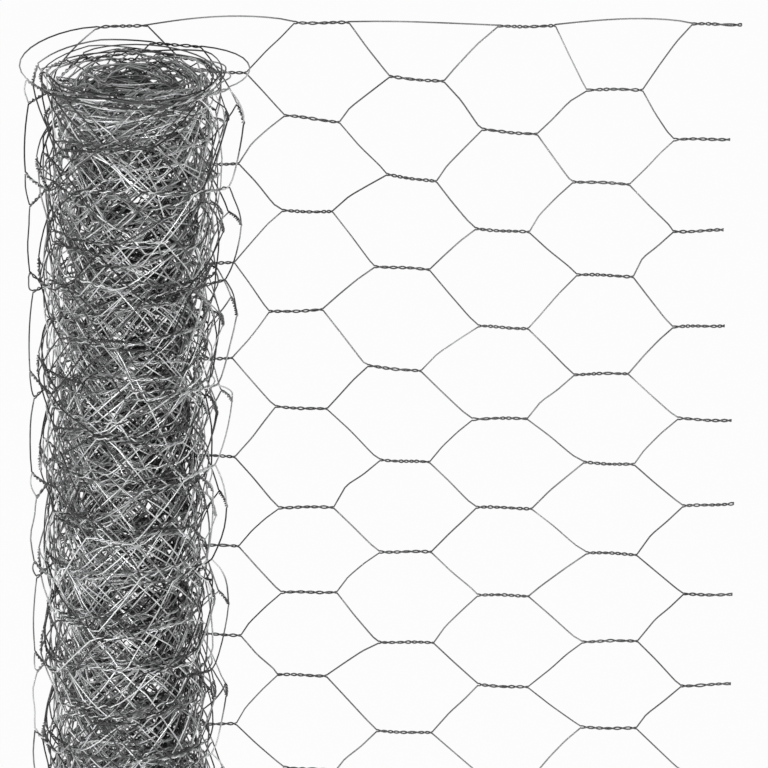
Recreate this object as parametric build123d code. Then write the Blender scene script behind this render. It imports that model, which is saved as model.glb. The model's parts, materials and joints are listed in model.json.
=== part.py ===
from build123d import *
import math
import os

# Roll of hexagonal wire netting standing on one end. Its outermost turn is loose, and its free end is flat.
# Lengths are millimetres. The origin is on the roll's axis at floor level, +Z runs up the axis,
# and the free end leaves the back of the roll (+Y side) and runs out along +X.

# Netting
MESH = 50.0             # mesh size, from one row of twists to the row above it in the same column
MESH_ROWS = 10          # meshes across the width of the netting
COLUMN_PITCH = 49.5     # from one column of twists to the next, along the netting
TWIST_LENGTH = 27.0     # length over which two neighbouring wires are wound round each other
TWIST_TURNS = 1         # whole turns, so that each wire leaves a twist on the side where it came in
STEPS_PER_TURN = 4      # straight steps that a wire takes round one turn
WIRE_DIAMETER = 0.8     # galvanised wire
WIRE_SIDES = 4          # sides of the wire's section, which has the area of the round wire
TWIST_CLEARANCE = 0.04  # between the two wires of a twist
NETTING_LENGTH = 10000.0

# Tight turns
ROLL_DIAMETER = 88.0
BORE_DIAMETER = 20.0
TURNS_PER_CREST = 6     # turns that bunch into one crest on the ends of the roll
TURN_RELIEF = 2.0       # depth of the groove between two crests

# Loose turn, in columns of twists from where it leaves the tight turns to where the free end begins
LOOSE_COLUMNS = 6
LOOSE_GAP = 9.0         # how far the loose turn has come off the tight turns where the free end begins
LEAVING_X = -12.0       # middle of the twists where the free end begins

# Free end
FREE_COLUMNS = 6
FREE_END_RISE = 10.0    # how much higher the free end stands than the tight turns
SEAT_CLEARANCE = 0.1    # between the wires and the roll or the floor

# Sizes that follow
HALF_MESH = MESH / 2
ROLL_RADIUS = ROLL_DIAMETER / 2
BORE_RADIUS = BORE_DIAMETER / 2
STEP_ANGLE = 2 * math.pi / STEPS_PER_TURN
SECTION_ANGLE = 2 * math.pi / WIRE_SIDES
WIRE_CORNER = WIRE_DIAMETER / 2 * math.sqrt(SECTION_ANGLE / math.sin(SECTION_ANGLE))
TWIST_RADIUS = (WIRE_CORNER + TWIST_CLEARANCE / 2) / math.cos(STEP_ANGLE / 2)
EDGE_ROW_Z = TWIST_RADIUS + WIRE_CORNER + SEAT_CLEARANCE
NETTING_WIDTH = MESH_ROWS * MESH + 2 * EDGE_ROW_Z
SEAT_RADIUS = ROLL_RADIUS + TWIST_RADIUS + WIRE_CORNER + SEAT_CLEARANCE
SHEET_Y = SEAT_RADIUS + LOOSE_GAP
COLUMN_ANGLE = COLUMN_PITCH / (SEAT_RADIUS + LOOSE_GAP / 2)
LEAVING_ANGLE = math.pi / 2 - math.asin(LEAVING_X / SHEET_Y)
LAST_COLUMN = LOOSE_COLUMNS + FREE_COLUMNS
UNWOUND_LENGTH = LAST_COLUMN * COLUMN_PITCH + TWIST_LENGTH / 2
TURN_PITCH = math.pi * (ROLL_RADIUS**2 - BORE_RADIUS**2) / (NETTING_LENGTH - UNWOUND_LENGTH)
CRESTS = round((ROLL_RADIUS - BORE_RADIUS) / TURN_PITCH / TURNS_PER_CREST)

ABOVE = math.pi / 2     # where a wire stands on the twist's circle as it enters: over its partner
BELOW = -math.pi / 2    # or under it


def end_outline(level, inward):
    """Radius and height along one end of the roll, from the bore out: a crest for each bunch of turns."""
    pitch = (ROLL_RADIUS - BORE_RADIUS) / CRESTS
    outline = [(BORE_RADIUS, level)]
    for crest in range(1, CRESTS):
        groove = BORE_RADIUS + crest * pitch
        outline.append((groove - pitch / 2, level))
        outline.append((groove, level + inward * TURN_RELIEF))
    outline.append((ROLL_RADIUS - pitch / 2, level))
    outline.append((ROLL_RADIUS, level))
    return outline


def wound_roll():
    """All the tight turns as one turned body with its bore."""
    lower = end_outline(0, 1)
    upper = end_outline(NETTING_WIDTH, -1)
    corners = [Vector(radius, 0, height) for radius, height in lower + upper[::-1]]
    section = make_face(Polyline(*corners, close=True))
    return revolve(section, axis=Axis.Z)


def column_plane(column):
    """Middle of a column of twists at row height zero, with x along the netting and y off its face."""
    loose_share = min(column / LOOSE_COLUMNS, 1)
    height = FREE_END_RISE * loose_share
    if column > LOOSE_COLUMNS:
        free_x = LEAVING_X + (column - LOOSE_COLUMNS) * COLUMN_PITCH
        return Plane(origin=(free_x, SHEET_Y, height), x_dir=(1, 0, 0), z_dir=(0, 0, 1))
    radius = SEAT_RADIUS + LOOSE_GAP * loose_share
    angle = LEAVING_ANGLE + (LOOSE_COLUMNS - column) * COLUMN_ANGLE
    outward = Vector(math.cos(angle), math.sin(angle))
    along = Vector(math.sin(angle), -math.cos(angle))
    return Plane(origin=outward * radius + Vector(0, 0, height), x_dir=along, z_dir=(0, 0, 1))


def twist_route(column, row_z, entry):
    """Corners of one wire along one twist. The column on the tight turns has the second half only."""
    steps = TWIST_TURNS * STEPS_PER_TURN
    first_step = steps // 2 if column == 0 else 0
    plane = column_plane(column)
    route = []
    for step in range(first_step, steps + 1):
        angle = entry + step * STEP_ANGLE
        run = step * TWIST_LENGTH / steps - TWIST_LENGTH / 2
        off = TWIST_RADIUS * math.cos(angle)
        route.append(plane.from_local_coords(Vector(run, off, row_z + TWIST_RADIUS * math.sin(angle))))
    return route


def edge_run(column, row_z, entry):
    """Corners of a selvedge wire past a column that has no twist at the edge."""
    plane = column_plane(column)
    height = row_z + TWIST_RADIUS * math.sin(entry)
    return [plane.from_local_coords(Vector(end * TWIST_LENGTH / 2, 0, height)) for end in (-1, 1)]


def wire(route):
    """A wire of the netting, swept along its route with mitred corners."""
    start = Plane(origin=route[0], z_dir=route[1] - route[0])
    section = start * RegularPolygon(WIRE_CORNER, WIRE_SIDES)
    return sweep(section, path=Polyline(*route), transition=Transition.RIGHT)


def mesh_wire(starts_low):
    """A wire that joins the row below it and the row above it by turns, for the band at the bottom edge."""
    route = []
    for column in range(LAST_COLUMN + 1):
        is_low = (column % 2 == 0) == starts_low
        if is_low:
            route += twist_route(column, EDGE_ROW_Z, ABOVE)
        else:
            route += twist_route(column, EDGE_ROW_Z + HALF_MESH, BELOW)
    return wire(route)


def edge_wire(row_z, entry):
    """A selvedge wire: along the edge, and wound round the outermost mesh wire at each edge twist."""
    route = []
    for column in range(LAST_COLUMN + 1):
        if column % 2 == 0:
            route += twist_route(column, row_z, entry)
        else:
            route += edge_run(column, row_z, entry)
    return wire(route)


def build():
    """Every piece by its name."""
    pieces = {
        "wound_roll": wound_roll(),
        "bottom_edge_wire": edge_wire(EDGE_ROW_Z, BELOW),
        "top_edge_wire": edge_wire(EDGE_ROW_Z + MESH_ROWS * MESH, ABOVE),
    }
    low_start, high_start = mesh_wire(True), mesh_wire(False)
    for band in range(2 * MESH_ROWS):
        pattern = low_start if band % 2 == 0 else high_start
        pieces[f"mesh_wire_{band + 1:02d}"] = Pos(0, 0, band * HALF_MESH) * pattern
    return pieces


os.makedirs("parts", exist_ok=True)
for name, piece in build().items():
    export_step(piece, f"parts/{name}.step")
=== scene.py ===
import json
import math
import random

import bmesh
import bpy
import numpy as np
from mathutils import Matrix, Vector, noise


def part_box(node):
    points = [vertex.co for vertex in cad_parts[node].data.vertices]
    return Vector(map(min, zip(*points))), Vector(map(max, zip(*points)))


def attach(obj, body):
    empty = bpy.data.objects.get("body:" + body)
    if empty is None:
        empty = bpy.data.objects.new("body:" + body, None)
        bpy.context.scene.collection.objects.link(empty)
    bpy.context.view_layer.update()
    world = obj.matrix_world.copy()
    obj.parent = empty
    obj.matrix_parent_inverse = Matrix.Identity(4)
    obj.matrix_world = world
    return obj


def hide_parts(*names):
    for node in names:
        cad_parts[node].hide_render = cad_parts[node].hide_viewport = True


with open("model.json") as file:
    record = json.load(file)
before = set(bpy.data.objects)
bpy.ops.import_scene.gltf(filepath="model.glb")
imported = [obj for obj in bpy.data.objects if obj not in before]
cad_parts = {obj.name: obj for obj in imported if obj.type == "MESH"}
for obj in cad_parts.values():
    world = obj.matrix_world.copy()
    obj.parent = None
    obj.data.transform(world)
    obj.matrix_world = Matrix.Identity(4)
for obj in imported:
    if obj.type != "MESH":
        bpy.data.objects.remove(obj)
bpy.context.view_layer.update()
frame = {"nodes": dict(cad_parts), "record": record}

# Roll of hexagonal wire netting on its end, with its free end drawn out. Metres throughout.
# A place on the netting is given by three lengths: u along it from the cut end, v up it from the
# bottom row of twists, and w off its face, away from the middle of the roll.

# Sizes read from the solids and from one of the stated meshes
_, ROLL_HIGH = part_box("wound_roll")
EDGE_WIRE_LOW, EDGE_WIRE_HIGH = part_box("bottom_edge_wire")
MESH_LOW, MESH_HIGH = frame["record"]["physics"]["openings"][0]["box_m"]
SOLID_TWIST_THICKNESS = 0.00245                             # across a twist of the solids
ROLL_RADIUS = ROLL_HIGH.x
MIDDLE_Z = ROLL_HIGH.z / 2
SHEET_Y = (MESH_LOW[1] + MESH_HIGH[1]) / 2                  # plane of the free end
CUT_END_X = EDGE_WIRE_HIGH.x
FREE_ROW_Z = EDGE_WIRE_HIGH.z - SOLID_TWIST_THICKNESS / 2   # bottom row of twists in the free end
WOUND_ROW_Z = EDGE_WIRE_LOW.z + SOLID_TWIST_THICKNESS / 2   # and in the turns

# Netting
MESH = 0.050
HALF_MESH = MESH / 2
ROWS = 20                   # half meshes across the netting, which is also the number of mesh wires
NET_HEIGHT = ROWS * HALF_MESH
COLUMN_PITCH = 0.0495
TWIST_LENGTH = 0.027
HALF_TWIST = TWIST_LENGTH / 2
WIRE_RADIUS = 0.0004
TWIST_RADIUS = 0.00051      # from the middle of a twist to the middle of each of its two wires
NETTING_LENGTH = 10.0
COLUMNS = int(NETTING_LENGTH / COLUMN_PITCH)
EDGE_STEPS = 10             # straight steps of a selvedge wire between two twists
LEAST_SIDES = 4             # sides that a curve's round wire has at bevel resolution 0

# Winding: radius as a share of the roll's radius at each turn, loose outside and tight inside
LOOSE_TURNS = (0, 0.25, 0.5, 0.75, 1.0, 1.25, 1.5, 1.75, 2.0, 2.5, 3.0, 4.0, 5.0, 6.0, 7.0)
LOOSE_RADIUS_SHARES = (
    SHEET_Y / ROLL_RADIUS, 1.19, 1.17, 1.24, 1.14, 1.09, 1.06, 1.07,
    1.045, 1.025, 1.0, 0.97, 0.94, 0.915, 0.89,
)
BORE_RADIUS_SHARE = 0.19
TIGHT_TURNS = 56
STEPS_PER_TURN = 180        # of the winding's plan
BLEND_STEPS = 31            # over which the radius is evened out
STRAIGHT_BEND = 1000.0      # radius of bend that stands for the flat free end
LOOSE_WOBBLE = 0.0014       # how far a loose turn is out of round
TIGHT_WOBBLE = 0.0009
WOBBLE_START_TURNS = 0.4    # over which the wobble sets in
WOBBLE_FADE_TURNS = 2       # over which the loose wobble gives way to the tight one
WOBBLES = ((0.6, 2.23, 0.0), (0.4, 3.71, 1.3))  # share of the wobble, waves to a turn, start in radians
OUTER_TAPER_SHARE = 0.10    # the outermost turn is this much tighter below its flared top
INNER_TAPER_SHARE = 0.06    # and the turns inside it this much
FLARE_SHARES = (0.50, 0.99)     # of the height: where the flare begins and where it ends
TOP_LEAN = 0.0022           # how far the turns stand off the axis at the flare, to the loose side
FOOT_LEAN = 0.0075          # and below the flare
CORE_SETTLE = 0.0105        # the tops of the core's turns stand this much lower than those outside it
LOOSE_RIDE = 0.0045         # how far the edges of the turns outside the core ride up and down
TIGHT_RIDE = 0.0130         # and those of the core's turns
RIDE_STEP = 0.038           # along the netting, from one rise or dip of its edge to the next
RIDES = 155                 # rises and dips before they come round again
RIDE_PERIOD = RIDES * RIDE_STEP
EDGE_BULGE = 0.0058         # how far the selvedge of the outermost turn bulges between its twists
BULGE_LEAN = 1.6            # above 1, so that the bulge is fullest past the middle, away from the cut end
FREE_EDGE_ARCH = 0.0020     # how far the top selvedge arches up where the free end begins
ARCH_LEAN = 0.75            # below 1, so that the arch is highest on the side of the cut end

# Turns of the winding, from where the free end leaves the roll, over which something comes about
ONTO_ROLL_TURNS = (0, 0.5)      # the netting takes the shape of the roll
INNER_TURNS = (0.5, 2.0)        # the outermost turn gives way to those inside it
CORE_TURNS = (4.0, 13.0)        # and those to the core
BULGE_TURNS = (0, 0.2)          # the selvedge begins to bulge
BULGE_END_TURNS = (0.6, 1.2)    # and lies flat again

# Disorder of the netting
SEED = 41
FREE_JITTER = 0.0010        # spread of the twists about their places in the free end
WOUND_JITTER = 0.0030       # and in the turns
FACE_JITTER = 0.0005        # spread of the twists of the turns off the face of the netting
EDGE_JITTER_SHARE = 0.25    # the edges are straighter than the meshes
DISORDER_START_SHARE = 0.9  # of the free end's length: where the disorder of the turns sets in
DISORDER_RISE_SHARE = 0.3   # and the length over which it does
FREE_TILT = 0.035           # spread of the slant of the twists in the free end, in radians
WOUND_TILT = 0.10           # and in the turns
STRAIGHT_SHARE = 0.72       # of its bend round the roll that a twist doesn't take up
WARP = 0.007                # how far the meshes of a turn are pushed up or down past those of the next turn
WARP_STEP = 0.085           # from one push to the next
WARP_FLATNESS = 0.5         # below 1, so that the push is strong nearly as far as the edges
TWIST_LENGTH_SHARES = (0.93, 1.07)  # least and most
TWIST_TURN_CHOICE = (3, 3, 4)
TWIST_LEAD = 0.45           # radians by which a wire runs ahead or behind in a twist
LEAD_WAVES = 3              # waves of different lengths that make up the lead
TWIST_SLACK_SHARE = 0.14    # how much wider or narrower than usual a twist is
SLACK_WAVES = (1.5, 3.5)    # along a twist
TWIST_WAVE = 0.00025        # how far a twist is from straight
TWIST_WAVES = 0.9           # along a twist
BOW = 0.0005                # how far a slanting wire is from straight
EDGE_BOW = 0.0010           # and a selvedge wire
FREE_WAVE = 0.0016          # how far the free end waves off its plane
FREE_WAVES = ((1.0, 21, 9, 0), (0.7, 33, -17, 2))   # size, radians per metre along and up, start in radians

# Knees of the slanting wires, seen from the cut end
FALLING_KNEE_SHARES = (0.18, 0.45)  # least and most of a falling wire's run that is past its knee
FALLING_STEEPNESS = (1.05, 1.15, 1.3, 1.5, 2.0)     # past the knee, next to that of the whole wire
FALLING_KNEE_RISE_SHARE = 0.42      # most of its fall that is past the knee
RISING_KNEE_SHARES = (0.10, 0.22)   # least and most of a rising wire's run that is before its knee
RISING_STEEPNESS = (0.6, 1.0)       # least and most before the knee

# How far the free end's meshes lie from an even net at a few heights:
# outwards and up, near the roll and at the cut end
SHIFT_HEIGHT_SHARES = (0.0, 0.30, 0.50, 0.65, 0.80, 0.90, 0.97, 1.0)
ROLL_SIDE_OUT = (-0.0040, -0.0045, -0.0060, -0.0095, -0.0055, -0.0020, 0.0020, 0.0025)
CUT_END_OUT = (0.0030, 0.0030, 0.0025, -0.0040, -0.0055, -0.0060, 0.0015, 0.0020)
ROLL_SIDE_UP = (0.0, -0.0020, -0.0060, -0.0020, 0.0010, 0.0010, 0.0, 0.0)
CUT_END_UP = (-0.0040, -0.0050, -0.0070, -0.0090, -0.0090, -0.0100, -0.0095, 0.0)
CUT_END_OUT_COLUMNS = (2.8, 2.0)    # columns within which the cut end's shift shows, and sets in
CUT_END_UP_COLUMNS = (4.5, 2.5)
SHIFT_FADE_START_SHARE = 0.75       # of the free end's length: where the shifts begin to fade
SHIFT_FADE_SHARE = 0.40             # and the length over which they do

# Twists of the free end that lie farther off: column and row, and how far outwards and up
NUDGES = {
    (2, 20): (0.0045, -0.0018),
    (2, 18): (0.0013, 0.0048),
    (3, 17): (0.0040, -0.0033),
    (1, 15): (0.0010, 0.0034),
    (4, 6): (-0.0035, 0.0020),
}

# Camera, from the photograph's frame
FRAME_PIXELS = 768
FOCAL_PIXELS = 7722
SENSOR_WIDTH = 36.0
CAMERA_ELEVATION = math.radians(20)
CAMERA_DISTANCE = 3.843
CAMERA_AIM = (0.1211, 0.0, 0.3405)
CAMERA_REACH = 100

chance = random.Random(SEED)
shade_chance = random.Random(SEED)


def smooth_step(value):
    """0 below 0, 1 above 1 and a smooth rise between."""
    clipped = np.clip(value, 0, 1)
    return clipped * clipped * (3 - 2 * clipped)


# The winding seen from above


def winding():
    """Plan of the netting from its cut end to the bore: u, x, y, heading and the radius of its bend."""
    all_turns = LOOSE_TURNS[-1] + TIGHT_TURNS
    turns = np.linspace(0, all_turns, int(all_turns * STEPS_PER_TURN))
    marks = LOOSE_TURNS + (all_turns,)
    shares = LOOSE_RADIUS_SHARES + (BORE_RADIUS_SHARE,)
    radius = np.interp(turns, marks, shares) * ROLL_RADIUS
    padded = np.pad(radius, BLEND_STEPS // 2, mode="edge")
    radius = np.convolve(padded, np.ones(BLEND_STEPS) / BLEND_STEPS, mode="valid")
    loose = 1 - smooth_step((turns - LOOSE_TURNS[-2]) / WOBBLE_FADE_TURNS)
    start = smooth_step(turns / WOBBLE_START_TURNS)
    wobble = (TIGHT_WOBBLE + (LOOSE_WOBBLE - TIGHT_WOBBLE) * loose) * start
    angle = math.pi / 2 + 2 * math.pi * turns
    radius = radius + wobble * sum(size * np.sin(waves * angle + phase) for size, waves, phase in WOBBLES)
    free_x = [CUT_END_X, CUT_END_X / 2]
    x = np.concatenate([free_x, radius * np.cos(angle)])
    y = np.concatenate([[SHEET_Y] * len(free_x), radius * np.sin(angle)])
    u = np.concatenate([[0], np.cumsum(np.hypot(np.diff(x), np.diff(y)))])
    heading = np.unwrap(np.arctan2(np.gradient(y, u), np.gradient(x, u)))
    heading[:len(free_x) + 1] = math.pi
    bend = np.concatenate([[STRAIGHT_BEND] * len(free_x), radius])
    return {"u": u, "x": x, "y": y, "heading": heading, "bend": bend}


PLAN = winding()
LEAVING_U = CUT_END_X       # where the free end meets the roll
TURN_LENGTH = 2 * math.pi * ROLL_RADIUS
RIDE_PLACES = np.arange(RIDES) * RIDE_STEP
TOP_RIDES = [chance.uniform(-1, 1) for _ in range(RIDES)]
FOOT_RIDES = [chance.uniform(0, 1) for _ in range(RIDES)]


def turn_share(u, first_turn, last_turn):
    """0 before one turn of the winding, 1 after another, and a smooth rise between."""
    turns = (u - LEAVING_U) / TURN_LENGTH
    return smooth_step((turns - first_turn) / (last_turn - first_turn))


def place(points):
    """Points in the room from rows of u, v, w."""
    u, v, w = np.asarray(points).T
    heading = np.interp(u, PLAN["u"], PLAN["heading"])
    x = np.interp(u, PLAN["u"], PLAN["x"]) + w * np.sin(heading)
    y = np.interp(u, PLAN["u"], PLAN["y"]) - w * np.cos(heading)
    height_share = v / NET_HEIGHT
    wound = turn_share(u, *ONTO_ROLL_TURNS)
    inside = turn_share(u, *INNER_TURNS)
    flare_low, flare_high = FLARE_SHARES
    below = 1 - smooth_step((height_share - flare_low) / (flare_high - flare_low))
    taper = 1 - (OUTER_TAPER_SHARE + (INNER_TAPER_SHARE - OUTER_TAPER_SHARE) * inside) * wound * below
    x = x * taper - (TOP_LEAN + (FOOT_LEAN - TOP_LEAN) * below) * wound
    core = turn_share(u, *CORE_TURNS)
    ride = (LOOSE_RIDE + (TIGHT_RIDE - LOOSE_RIDE) * core) * inside
    sunk = CORE_SETTLE * core + ride * np.interp(u, RIDE_PLACES, TOP_RIDES, period=RIDE_PERIOD)
    lifted = ride * np.interp(u, RIDE_PLACES, FOOT_RIDES, period=RIDE_PERIOD)
    row_z = FREE_ROW_Z + (WOUND_ROW_Z - FREE_ROW_Z) * wound
    z = row_z + v - sunk * height_share + lifted * (1 - height_share)
    return np.column_stack([x, y * taper, np.maximum(z, WIRE_RADIUS)])


# The netting laid out flat


def near_cut_end(u, columns):
    """1 at the cut end, 0 past the first number of columns, with a smooth rise over the second."""
    reach, rise = columns
    return smooth_step((reach * COLUMN_PITCH - u) / (rise * COLUMN_PITCH))


def free_end_shift(u, v):
    """How far the free end's meshes lie from an even net: along it and up it."""
    height_share = v / NET_HEIGHT
    faded = smooth_step((u - LEAVING_U * SHIFT_FADE_START_SHARE) / (LEAVING_U * SHIFT_FADE_SHARE))
    roll_side_out, cut_end_out, roll_side_up, cut_end_up = (
        np.interp(height_share, SHIFT_HEIGHT_SHARES, shifts)
        for shifts in (ROLL_SIDE_OUT, CUT_END_OUT, ROLL_SIDE_UP, CUT_END_UP)
    )
    out = roll_side_out + (cut_end_out - roll_side_out) * near_cut_end(u, CUT_END_OUT_COLUMNS)
    up = roll_side_up + (cut_end_up - roll_side_up) * near_cut_end(u, CUT_END_UP_COLUMNS)
    return -out * (1 - faded), up * (1 - faded)


def warp(u, v):
    """How far a wound mesh is pushed up or down, most at mid height and differently in each turn."""
    height_share = min(max(v / NET_HEIGHT, 0), 1)
    push = noise.noise(Vector((u / WARP_STEP, v / WARP_STEP, 0)))
    return WARP * push * math.sin(math.pi * height_share) ** WARP_FLATNESS * turn_share(u, *INNER_TURNS)


def lay_twist(column, row):
    """Place, slant and stiffness of one twist, and how unevenly it is wound."""
    u = HALF_TWIST + column * COLUMN_PITCH
    v = row * HALF_MESH
    wound = float(smooth_step((u - LEAVING_U * DISORDER_START_SHARE) / (LEAVING_U * DISORDER_RISE_SHARE)))
    jitter = FREE_JITTER + (WOUND_JITTER - FREE_JITTER) * wound
    edge = EDGE_JITTER_SHARE if row in (0, ROWS) else 1
    along, up = free_end_shift(u, v)
    slope = (free_end_shift(u + HALF_TWIST, v)[1] - free_end_shift(u - HALF_TWIST, v)[1]) / TWIST_LENGTH
    up += warp(u, v)
    tilt = FREE_TILT + (WOUND_TILT - FREE_TILT) * wound
    u += along + chance.gauss(0, jitter)
    v += up + chance.gauss(0, jitter) * edge
    nudge_out, nudge_up = NUDGES.get((column, row), (0, 0))
    u -= nudge_out
    v += nudge_up
    bend = float(np.interp(u, PLAN["u"], PLAN["bend"]))
    waves = sum(size * math.sin(u * per_u + v * per_v + phase) for size, per_u, per_v, phase in FREE_WAVES)
    return {
        "u": u,
        "v": max(v, 0),
        "w": FREE_WAVE * waves * (1 - wound) + chance.gauss(0, FACE_JITTER) * wound,
        "length": TWIST_LENGTH * chance.uniform(*TWIST_LENGTH_SHARES),
        "tilt": slope + chance.gauss(0, tilt) * edge,
        "stand_off": STRAIGHT_SHARE * wound / (2 * bend),
        "turns": chance.choice(TWIST_TURN_CHOICE),
        "lead": [chance.gauss(0, TWIST_LEAD) for _ in range(LEAD_WAVES)],
        "slack": [chance.random() for _ in SLACK_WAVES],
        "wave": chance.random(),
    }


TWISTS = {
    (column, row): lay_twist(column, row)
    for column in range(COLUMNS)
    for row in range(column % 2, ROWS + 1, 2)
}


def twist_points(twist, is_upper, steps):
    """One of the two wires of a twist, wound round the other, here tighter and there slacker."""
    half = twist["length"] / 2
    entry = math.pi / 2 if is_upper else -math.pi / 2
    share = np.linspace(0, 1, steps + 1)
    run = (2 * share - 1) * half
    lead = sum(size * np.sin((wave + 1) * math.pi * share) for wave, size in enumerate(twist["lead"]))
    angle = entry + 2 * math.pi * twist["turns"] * share + lead
    slack = sum(
        np.sin(2 * math.pi * (waves * share + phase)) for waves, phase in zip(SLACK_WAVES, twist["slack"])
    )
    radius = np.maximum(TWIST_RADIUS * (1 + TWIST_SLACK_SHARE * slack), WIRE_RADIUS)
    stand_off = twist["stand_off"] * (run * run - half * half / 3)
    wave = TWIST_WAVE * np.sin(2 * math.pi * (TWIST_WAVES * share + twist["wave"]))
    up = twist["v"] + twist["tilt"] * run + wave + radius * np.sin(angle)
    return np.column_stack([twist["u"] + run, up, twist["w"] + stand_off + radius * np.cos(angle)])


def slant_points(start, end, steps):
    """A single wire from one twist to the next: nearly straight, with a knee near one of its ends."""
    run, rise, off = end - start
    if rise < 0:
        knee = 1 - chance.uniform(*FALLING_KNEE_SHARES)
        steepness = chance.choice(FALLING_STEEPNESS)
        knee_rise = 1 - min((1 - knee) * steepness, FALLING_KNEE_RISE_SHARE)
        middle = knee / 2
        middle_rise = knee_rise / 2
    else:
        knee = chance.uniform(*RISING_KNEE_SHARES)
        knee_rise = knee * chance.uniform(*RISING_STEEPNESS)
        middle = (1 + knee) / 2
        middle_rise = (1 + knee_rise) / 2
    corners = [(0, 0, 0, 0), (knee, knee_rise, chance.gauss(0, BOW), chance.gauss(0, BOW))]
    corners += [(middle, middle_rise, chance.gauss(0, BOW), chance.gauss(0, BOW)), (1, 1, 0, 0)]
    shares = np.array(sorted(corners))
    spread = np.linspace(0, 1, steps + 2)[1:-1]
    along = np.interp(spread, np.linspace(0, 1, len(shares)), shares[:, 0])
    climb, up, out = (np.interp(along, shares[:, 0], shares[:, part]) for part in (1, 2, 3))
    return start + np.column_stack([run * along, rise * climb + up, off * along + out])


def edge_points(start, end, steps):
    """The selvedge wire between two twists of the edge: a slack line."""
    share = np.linspace(0, 1, steps + 2)[1:-1, None]
    u = (start[0] + end[0]) / 2
    bulge = EDGE_BULGE * turn_share(u, *BULGE_TURNS) * (1 - turn_share(u, *BULGE_END_TURNS))
    arch = FREE_EDGE_ARCH * (abs(u - LEAVING_U) < COLUMN_PITCH and start[1] > HALF_MESH)
    up = (arch + chance.gauss(0, EDGE_BOW)) * np.sin(math.pi * share ** ARCH_LEAN)
    out = (bulge + chance.gauss(0, EDGE_BOW)) * np.sin(math.pi * share ** BULGE_LEAN)
    return start + (end - start) * share + np.hstack([0 * up, up, out])


def wire_points(stops, run_points, twist_steps, run_steps, is_start):
    """A wire through its stops, each a twist and whether the wire is the upper one of the two.

    Gives rows of u, v, w and 1 in a twist or 0 between twists.
    """
    twist, is_upper = stops[0]
    turns = twist_points(twist, is_upper, twist_steps)
    points = [turns if is_start else turns[-1:]]
    for twist, is_upper in stops[1:]:
        turns = twist_points(twist, is_upper, twist_steps)
        points += [run_points(points[-1][-1], turns[0], run_steps), turns]
    in_twist = [np.full(len(part), 1 - index % 2) for index, part in enumerate(points)]
    return np.column_stack([np.concatenate(points), np.concatenate(in_twist)])


def mesh_wire_stops(band, columns):
    """The twists of one mesh wire, which joins the row below its band and the row above it by turns."""
    stops = []
    for column in columns:
        is_upper = (band + column) % 2 == 0
        row = band if is_upper else band + 1
        stops.append((TWISTS[column, row], is_upper))
    return stops


def edge_wire_stops(row, columns):
    """The twists of a selvedge wire, in every other column."""
    return [(TWISTS[column, row], row == ROWS) for column in columns if column % 2 == 0]


def wire_shades(route, twist_dirt_and_shade_share):
    """How bright the zinc is along a wire, from 0 to 1.

    It has another shade every half column, and is darker in its twists from dirt and painted shade.
    """
    u, in_twist = route[:, 0], route[:, 3]
    knots = np.arange(u[0], u[-1] + COLUMN_PITCH, COLUMN_PITCH / 2)
    shades = np.interp(u, knots, [shade_chance.random() for _ in knots])
    # darker in the twists: dirt, and painted shade between the two wires
    return shades * (1 - twist_dirt_and_shade_share * in_twist)


def netting(name, first, last, twist_steps, slant_steps, sides, twist_dirt_and_shade_share):
    """A stretch of netting from one column of twists to another, as one mesh of round wires."""
    curve = bpy.data.curves.new(name, "CURVE")
    curve.dimensions = "3D"
    curve.bevel_depth = WIRE_RADIUS
    curve.bevel_resolution = (sides - LEAST_SIDES) // 2
    columns = range(first, last + 1)
    routes = []
    for band in range(ROWS):
        stops = mesh_wire_stops(band, columns)
        routes.append(wire_points(stops, slant_points, twist_steps, slant_steps, first == 0))
    for row in (0, ROWS):
        stops = edge_wire_stops(row, columns)
        routes.append(wire_points(stops, edge_points, twist_steps, EDGE_STEPS, first == 0))
    for route in routes:
        spline = curve.splines.new("POLY")
        spline.points.add(len(route) - 1)
        corners = np.column_stack([place(route[:, :3]), np.ones(len(route))])
        spline.points.foreach_set("co", corners.ravel())
    drawn = bpy.data.objects.new(name + "_drawn", curve)
    mesh = bpy.data.meshes.new_from_object(drawn)
    mesh.name = name
    shades = np.concatenate([np.repeat(wire_shades(route, twist_dirt_and_shade_share), sides) for route in routes])
    mesh.attributes.new("zinc_shade", "FLOAT", "POINT").data.foreach_set("value", shades)
    bpy.data.objects.remove(drawn)
    bpy.data.curves.remove(curve)
    shape = bmesh.new()
    shape.from_mesh(mesh)
    bmesh.ops.holes_fill(shape, edges=[edge for edge in shape.edges if edge.is_boundary], sides=sides)
    bmesh.ops.recalc_face_normals(shape, faces=shape.faces)
    shape.to_mesh(mesh)
    shape.free()
    mesh.shade_smooth()
    piece = bpy.data.objects.new(name, mesh)
    bpy.context.scene.collection.objects.link(piece)
    return piece


# Finishes: one zinc in lit and shaded copies, with painted shade deep in the roll

PATCH_SCALE = 60                # soft patches of lighter and darker zinc
PATCH_DETAIL = 3
CRYSTAL_SCALE = 300             # the spangle of zinc crystals
CRYSTAL_TONE = 0.12             # how much lighter the lightest crystal is
GRAIN_SCALE = 300               # the fine roughness of the dipped wire
GRAIN_DETAIL = 2
GRAIN_STRENGTH = 0.05
GRAIN_DEPTH = 0.0001
GREY_STOPS = (0.10, 0.55, 0.90)     # tones at which the zinc is dark, middling and light
ZINC_TINT = (1, 1.01, 1.02)         # a trace of blue
UNSHADED_RADIUS = 0.036           # from the roll's axis: outside this no shade is painted on the zinc
DARKEST_SHADE_RADIUS = 0.014             # and inside this the painted shade is darkest
FULL_SHADE_OFF_MIDDLE = 0.200         # up or down from mid height: as far as this the inside has its full painted shade
UNSHADED_OFF_MIDDLE = 0.270       # and beyond this, at the open ends, the inside has no painted shade, like the outside
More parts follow.
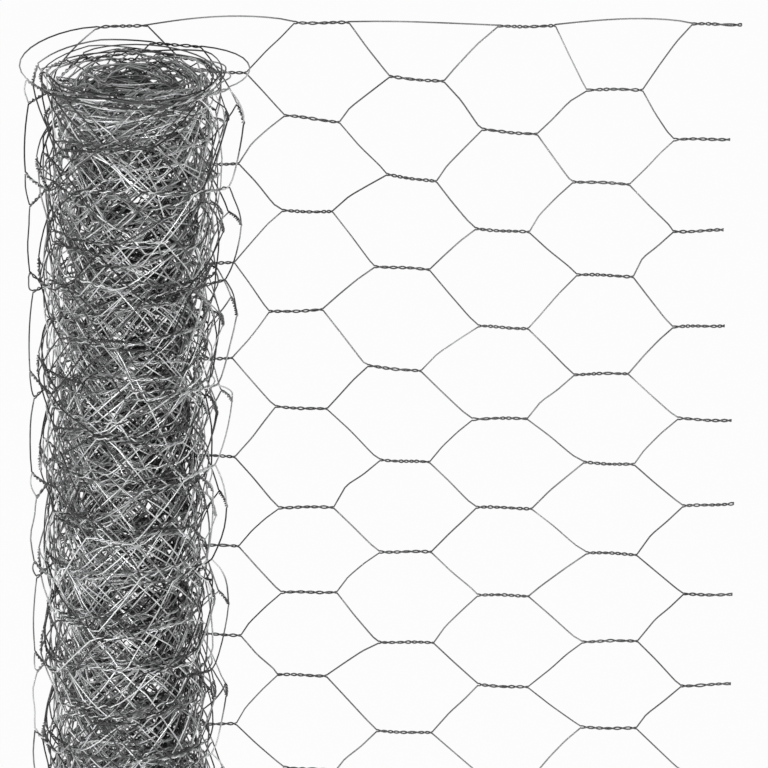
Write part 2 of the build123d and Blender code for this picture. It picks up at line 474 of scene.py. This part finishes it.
ROLL_ROUGHNESS = (0.38, 0.29)       # of the dullest and of the brightest zinc
FREE_END_ROUGHNESS = (0.55, 0.45)


def math_node(nodes, operation):
    """A node that works out one step of a sum."""
    node = nodes.new("ShaderNodeMath")
    node.operation = operation
    return node


def zinc_tone_and_painted_shade():
    """Shared effect: hot-dip zinc's uneven grey from crystals and the wire's shade, with painted shade deep
    in the roll.
    """
    group = bpy.data.node_groups.new("zinc_tone_and_painted_shade", "ShaderNodeTree")
    for socket in ("Unevenness", "Depth Shade", "Dull Roughness", "Bright Roughness"):
        group.interface.new_socket(socket, in_out="INPUT", socket_type="NodeSocketFloat")
    for socket in ("Tone", "Roughness", "Height"):
        group.interface.new_socket(socket, in_out="OUTPUT", socket_type="NodeSocketFloat")
    nodes, links = group.nodes, group.links
    entry = nodes.new("NodeGroupInput")
    leave = nodes.new("NodeGroupOutput")
    where = nodes.new("ShaderNodeTexCoord")

    # Tone: soft patches or the wire's own shade, which is darker in the twists from dirt and painted shade,
    # and crystals
    patches = nodes.new("ShaderNodeTexNoise")
    patches.inputs["Scale"].default_value = PATCH_SCALE
    patches.inputs["Detail"].default_value = PATCH_DETAIL
    crystals = nodes.new("ShaderNodeTexVoronoi")
    crystals.inputs["Scale"].default_value = CRYSTAL_SCALE
    grain = nodes.new("ShaderNodeTexNoise")
    grain.inputs["Scale"].default_value = GRAIN_SCALE
    grain.inputs["Detail"].default_value = GRAIN_DETAIL
    for texture in (patches, crystals, grain):
        links.new(where.outputs["Object"], texture.inputs["Vector"])
    spangle = math_node(nodes, "MULTIPLY")
    links.new(crystals.outputs["Color"], spangle.inputs[0])
    spangle.inputs[1].default_value = CRYSTAL_TONE
    shade = nodes.new("ShaderNodeAttribute")
    shade.attribute_name = "zinc_shade"
    uneven = nodes.new("ShaderNodeMix")
    uneven.data_type = "FLOAT"
    links.new(entry.outputs["Unevenness"], uneven.inputs["Factor"])
    links.new(patches.outputs["Fac"], uneven.inputs["A"])
    links.new(shade.outputs["Fac"], uneven.inputs["B"])
    tone = math_node(nodes, "ADD")
    links.new(uneven.outputs["Result"], tone.inputs[0])
    links.new(spangle.outputs[0], tone.inputs[1])

    # Painted shade: darker towards the roll's axis, and less so near its open ends
    flat = nodes.new("ShaderNodeVectorMath")
    flat.operation = "MULTIPLY"
    links.new(where.outputs["Object"], flat.inputs[0])
    flat.inputs[1].default_value = (1, 1, 0)
    radius = nodes.new("ShaderNodeVectorMath")
    radius.operation = "LENGTH"
    links.new(flat.outputs[0], radius.inputs[0])
    height = nodes.new("ShaderNodeSeparateXYZ")
    links.new(where.outputs["Object"], height.inputs[0])
    above = math_node(nodes, "SUBTRACT")
    links.new(height.outputs["Z"], above.inputs[0])
    above.inputs[1].default_value = MIDDLE_Z
    off_middle = math_node(nodes, "ABSOLUTE")
    links.new(above.outputs[0], off_middle.inputs[0])
    hidden = nodes.new("ShaderNodeMapRange")
    links.new(off_middle.outputs[0], hidden.inputs["Value"])
    hidden.inputs["From Min"].default_value = FULL_SHADE_OFF_MIDDLE
    hidden.inputs["From Max"].default_value = UNSHADED_OFF_MIDDLE
    links.new(entry.outputs["Depth Shade"], hidden.inputs["To Min"])
    hidden.inputs["To Max"].default_value = 0
    depth = nodes.new("ShaderNodeMapRange")
    links.new(radius.outputs["Value"], depth.inputs["Value"])
    depth.inputs["From Min"].default_value = DARKEST_SHADE_RADIUS
    depth.inputs["From Max"].default_value = UNSHADED_RADIUS
    links.new(hidden.outputs["Result"], depth.inputs["To Min"])
    depth.inputs["To Max"].default_value = 0
    shaded_tone = math_node(nodes, "SUBTRACT")
    shaded_tone.use_clamp = True
    links.new(tone.outputs[0], shaded_tone.inputs[0])
    links.new(depth.outputs["Result"], shaded_tone.inputs[1])

    rough = nodes.new("ShaderNodeMapRange")
    links.new(shaded_tone.outputs[0], rough.inputs["Value"])
    links.new(entry.outputs["Dull Roughness"], rough.inputs["To Min"])
    links.new(entry.outputs["Bright Roughness"], rough.inputs["To Max"])
    links.new(shaded_tone.outputs[0], leave.inputs["Tone"])
    links.new(rough.outputs["Result"], leave.inputs["Roughness"])
    links.new(grain.outputs["Fac"], leave.inputs["Height"])
    return group


ZINC_TONE_AND_SHADE = zinc_tone_and_painted_shade()


def zinc(name, greys, unevenness, depth_shade, metallic, specular, roughness):
    """Galvanised wire in greys from dark to light, as one of the lit and shaded copies of the zinc,
    darkened deep in the roll by painted shade.
    """
    material = bpy.data.materials.new(name)
    material.use_nodes = True
    nodes, links = material.node_tree.nodes, material.node_tree.links
    surface = nodes["Principled BSDF"]
    tone_and_shade = nodes.new("ShaderNodeGroup")
    tone_and_shade.node_tree = ZINC_TONE_AND_SHADE
    dull_roughness, bright_roughness = roughness
    tone_and_shade.inputs["Unevenness"].default_value = unevenness
    tone_and_shade.inputs["Depth Shade"].default_value = depth_shade
    tone_and_shade.inputs["Dull Roughness"].default_value = dull_roughness
    tone_and_shade.inputs["Bright Roughness"].default_value = bright_roughness
    ramp = nodes.new("ShaderNodeValToRGB")
    stops = ramp.color_ramp.elements
    stops.new(GREY_STOPS[1])
    for stop, position, grey in zip(stops, GREY_STOPS, greys):
        stop.position = position
        stop.color = (*(grey * tint for tint in ZINC_TINT), 1)
    links.new(tone_and_shade.outputs["Tone"], ramp.inputs["Fac"])
    links.new(ramp.outputs["Color"], surface.inputs["Base Color"])
    links.new(tone_and_shade.outputs["Roughness"], surface.inputs["Roughness"])
    bump = nodes.new("ShaderNodeBump")
    bump.inputs["Strength"].default_value = GRAIN_STRENGTH
    bump.inputs["Distance"].default_value = GRAIN_DEPTH
    links.new(tone_and_shade.outputs["Height"], bump.inputs["Height"])
    links.new(bump.outputs["Normal"], surface.inputs["Normal"])
    surface.inputs["Metallic"].default_value = metallic
    surface.inputs["Specular IOR Level"].default_value = specular
    return material


# One zinc in lit and shaded copies: painted-shade copies for the free end, the outer turns and the first
# tight turns, and a lighter lit copy for the rest of the core, which gets painted shade deep inside
SHADED_FREE_END_ZINC = zinc(
    "shaded_free_end_zinc", greys=(0.03, 0.145, 0.42), unevenness=0.6, depth_shade=0.0,
    metallic=0.2, specular=0.2, roughness=FREE_END_ROUGHNESS,
)
SHADED_OUTER_ZINC = zinc(
    "shaded_outer_zinc", greys=(0.015, 0.080, 0.75), unevenness=0.9, depth_shade=0.0,
    metallic=0.25, specular=0.2, roughness=ROLL_ROUGHNESS,
)
SHADED_ZINC = zinc(
    "shaded_zinc", greys=(0.018, 0.15, 0.97), unevenness=0.9, depth_shade=0.0,
    metallic=0.35, specular=0.2, roughness=ROLL_ROUGHNESS,
)
LIT_AND_DEPTH_SHADED_ZINC = zinc(
    "lit_and_depth_shaded_zinc", greys=(0.025, 0.58, 0.97), unevenness=0.9, depth_shade=0.42,
    metallic=0.35, specular=0.2, roughness=ROLL_ROUGHNESS,
)

# The pieces

WIRE_NODES = [node for node in frame["nodes"] if node.endswith("_wire") or node.startswith("mesh_wire")]

# name, first and last column, steps along a twist, steps along a slant, sides of the wire,
# share of its brightness that a wire loses in its twists to dirt and painted shade, lit or shaded zinc copy
STRETCHES = (
    ("free_end", 0, 6, 40, 9, 6, 0.6, SHADED_FREE_END_ZINC),
    ("outer_turn", 6, 14, 32, 6, 6, 0.0, SHADED_OUTER_ZINC),
    ("loose_turns", 14, 30, 26, 5, 4, 0.0, SHADED_OUTER_ZINC),
    ("tight_turns_1", 30, 48, 22, 5, 4, 0.1, SHADED_ZINC),
    ("tight_turns_2", 48, 84, 18, 4, 4, 0.3, LIT_AND_DEPTH_SHADED_ZINC),
    ("tight_turns_3", 84, 122, 14, 3, 4, 0.3, LIT_AND_DEPTH_SHADED_ZINC),
    ("tight_turns_4", 122, 162, 14, 3, 4, 0.3, LIT_AND_DEPTH_SHADED_ZINC),
    ("tight_turns_5", 162, COLUMNS - 1, 14, 3, 4, 0.3, LIT_AND_DEPTH_SHADED_ZINC),
)
for name, first, last, twist_steps, slant_steps, sides, twist_dirt_and_shade_share, zinc_copy in STRETCHES:
    piece = netting(name, first, last, twist_steps, slant_steps, sides, twist_dirt_and_shade_share)
    piece.data.materials.append(zinc_copy)
    if name in ("free_end", "outer_turn"):
        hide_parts(*WIRE_NODES)
    else:
        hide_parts("wound_roll")
    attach(piece, "root")

# Floor, light and camera

FLOOR_HALF_SIZE = 12.0
FLOOR_PAINT = (0.97, 0.97, 0.97, 1)
FLOOR_WHITE_SHARE = 0.97        # of what the camera sees of the floor, the rest being lit paint
AMBIENT = 0.15                  # strength of the light from all round
LIGHT_SIZE = 0.75
LIGHT_AIM = (0, 0, MIDDLE_Z)
LIGHTS = (                      # name, place, watts
    ("right_light", (1.25, -3.15, 0.2), 88),
    ("left_light", (-2.4, -2.4, 0.25), 64),
)


def white_to_the_eye(nodes, links):
    """1 for the rays that show the background or its mirror image, 0 for those that light the object."""
    path = nodes.new("ShaderNodeLightPath")
    glossy = math_node(nodes, "MAXIMUM")
    links.new(path.outputs["Is Camera Ray"], glossy.inputs[0])
    links.new(path.outputs["Is Glossy Ray"], glossy.inputs[1])
    seen = math_node(nodes, "MAXIMUM")
    links.new(glossy.outputs[0], seen.inputs[0])
    links.new(path.outputs["Is Transmission Ray"], seen.inputs[1])
    return seen.outputs[0]


def studio_floor():
    """A pale floor that is near white to the camera and still takes the object's shadow."""
    shape = bmesh.new()
    bmesh.ops.create_grid(shape, x_segments=1, y_segments=1, size=FLOOR_HALF_SIZE)
    mesh = bpy.data.meshes.new("studio_floor")
    shape.to_mesh(mesh)
    shape.free()
    floor = bpy.data.objects.new("studio_floor", mesh)
    bpy.context.scene.collection.objects.link(floor)
    material = bpy.data.materials.new("pale_floor")
    material.use_nodes = True
    nodes, links = material.node_tree.nodes, material.node_tree.links
    nodes.clear()
    output = nodes.new("ShaderNodeOutputMaterial")
    paint = nodes.new("ShaderNodeBsdfDiffuse")
    paint.inputs["Color"].default_value = FLOOR_PAINT
    glow = nodes.new("ShaderNodeEmission")
    share = math_node(nodes, "MULTIPLY")
    links.new(white_to_the_eye(nodes, links), share.inputs[0])
    share.inputs[1].default_value = FLOOR_WHITE_SHARE
    mix = nodes.new("ShaderNodeMixShader")
    links.new(share.outputs[0], mix.inputs["Fac"])
    links.new(paint.outputs[0], mix.inputs[1])
    links.new(glow.outputs[0], mix.inputs[2])
    links.new(mix.outputs[0], output.inputs["Surface"])
    mesh.materials.append(material)


def studio_world():
    """White all round to the camera, and plain soft light on the object."""
    world = bpy.data.worlds.new("studio")
    bpy.context.scene.world = world
    world.use_nodes = True
    nodes, links = world.node_tree.nodes, world.node_tree.links
    backdrop = nodes["Background"]
    backdrop.inputs["Color"].default_value = (1, 1, 1, 1)
    strength = nodes.new("ShaderNodeMapRange")
    links.new(white_to_the_eye(nodes, links), strength.inputs["Value"])
    strength.inputs["To Min"].default_value = AMBIENT
    strength.inputs["To Max"].default_value = 1
    links.new(strength.outputs["Result"], backdrop.inputs["Strength"])


def soft_box(name, position, power):
    """An area lamp that faces the middle of the roll."""
    lamp = bpy.data.lights.new(name, "AREA")
    lamp.shape = "SQUARE"
    lamp.size = LIGHT_SIZE
    lamp.energy = power
    holder = bpy.data.objects.new(name, lamp)
    holder.location = position
    direction = Vector(LIGHT_AIM) - Vector(position)
    holder.rotation_euler = direction.to_track_quat("-Z", "Y").to_euler()
    bpy.context.scene.collection.objects.link(holder)


def photo_camera():
    """The photograph's camera: far off, with a long lens, looking a little down."""
    data = bpy.data.cameras.new("photo_camera")
    data.sensor_width = SENSOR_WIDTH
    data.lens = SENSOR_WIDTH * FOCAL_PIXELS / FRAME_PIXELS
    data.clip_end = CAMERA_REACH
    camera = bpy.data.objects.new("photo_camera", data)
    aim_x, aim_y, aim_z = CAMERA_AIM
    camera.location = (
        aim_x,
        aim_y - CAMERA_DISTANCE * math.cos(CAMERA_ELEVATION),
        aim_z + CAMERA_DISTANCE * math.sin(CAMERA_ELEVATION),
    )
    camera.rotation_euler = (math.pi / 2 - CAMERA_ELEVATION, 0, 0)
    bpy.context.scene.collection.objects.link(camera)
    bpy.context.scene.camera = camera


studio_floor()
studio_world()
for name, position, power in LIGHTS:
    soft_box(name, position, power)
photo_camera()
bpy.context.scene.view_settings.view_transform = "Standard"
